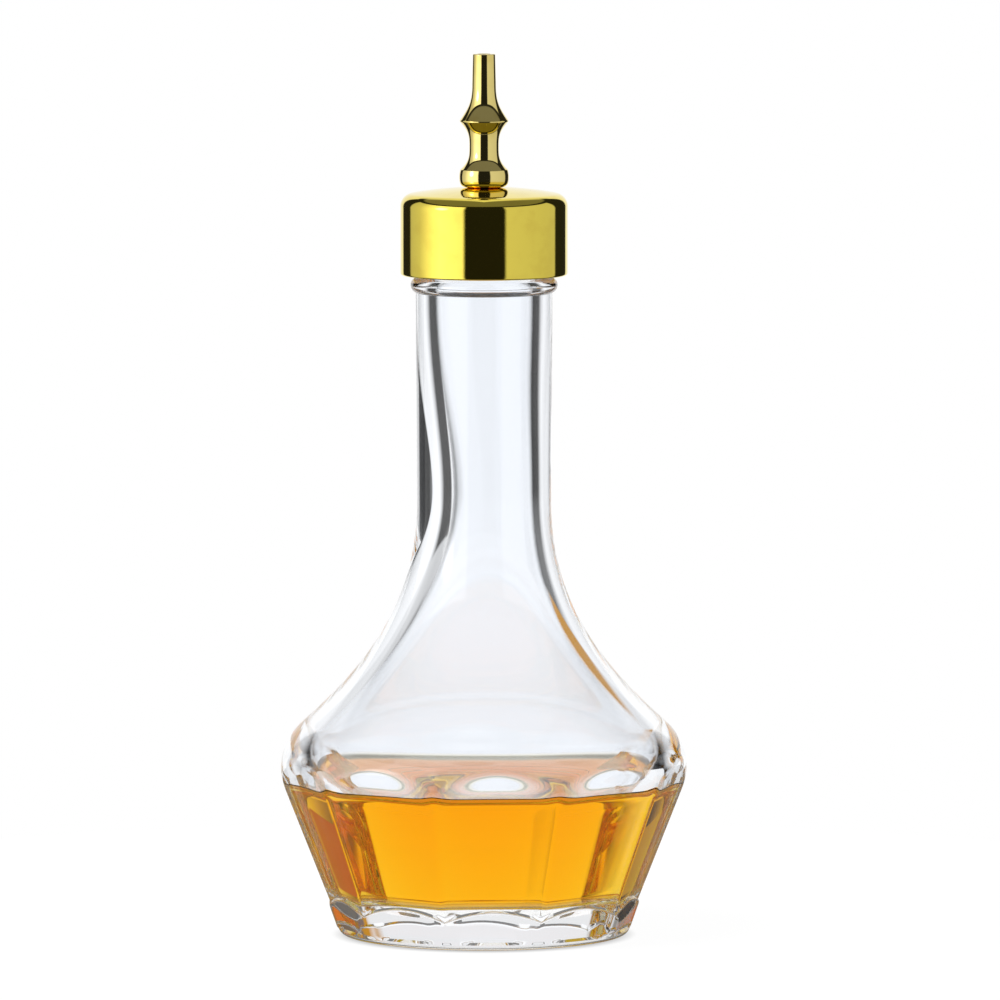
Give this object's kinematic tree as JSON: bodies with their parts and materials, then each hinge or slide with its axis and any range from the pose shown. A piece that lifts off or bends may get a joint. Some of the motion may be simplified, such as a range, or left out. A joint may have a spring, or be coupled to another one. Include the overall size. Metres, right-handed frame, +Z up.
{
  "type": "bitters bottle",
  "caption": "Panelled glass bitters bottle, part filled with amber bitters, with a polished gold screw cap that carries a turned dasher spout.",
  "frame": {"origin": "middle of the foot, on the surface that the bottle stands on", "axes": "+Z up along the bottle's axis; one glass panel faces -Y, the front"},
  "size_m": [0.0692, 0.0684, 0.15],
  "materials": {
    "clear_glass": "clear pressed glass, fire polished",
    "amber_liquid": "clear amber liquid",
    "gold_plate": "mirror polished gold plate",
    "insert_plastic": "natural moulded polypropylene",
    "silicone": "translucent white silicone",
    "nut_brass": "plain turned brass"
  },
  "bodies": {
    "bottle": {"glass_bottle": "clear_glass", "bitters": "amber_liquid"},
    "lip_washer": {"sealing_washer": "silicone"},
    "spout_gasket": {"spout_seal": "silicone"},
    "cap": {"cap_shell": "gold_plate", "thread_insert": "insert_plastic", "dasher_spout": "gold_plate", "spout_nut": "nut_brass"}
  },
  "joints": [
    {"name": "cap_lift_off", "type": "slide", "parent": "bottle", "child": "lip_washer", "axis": [0, 0, 1], "range_m": [0, 0.04]},
    {"name": "thread_rise", "type": "slide", "parent": "lip_washer", "child": "spout_gasket", "axis": [0, 0, 1], "range_m": [0, 0.004]},
    {"name": "cap_turn", "type": "hinge", "parent": "spout_gasket", "child": "cap", "pos_m": [0, 0, 0.12], "axis": [0, 0, 1], "range_deg": [0, 450]}
  ],
  "couplings": [
    {"joint": "thread_rise", "follows": "cap_turn", "m_per_rad": 0.00050532}
  ]
}
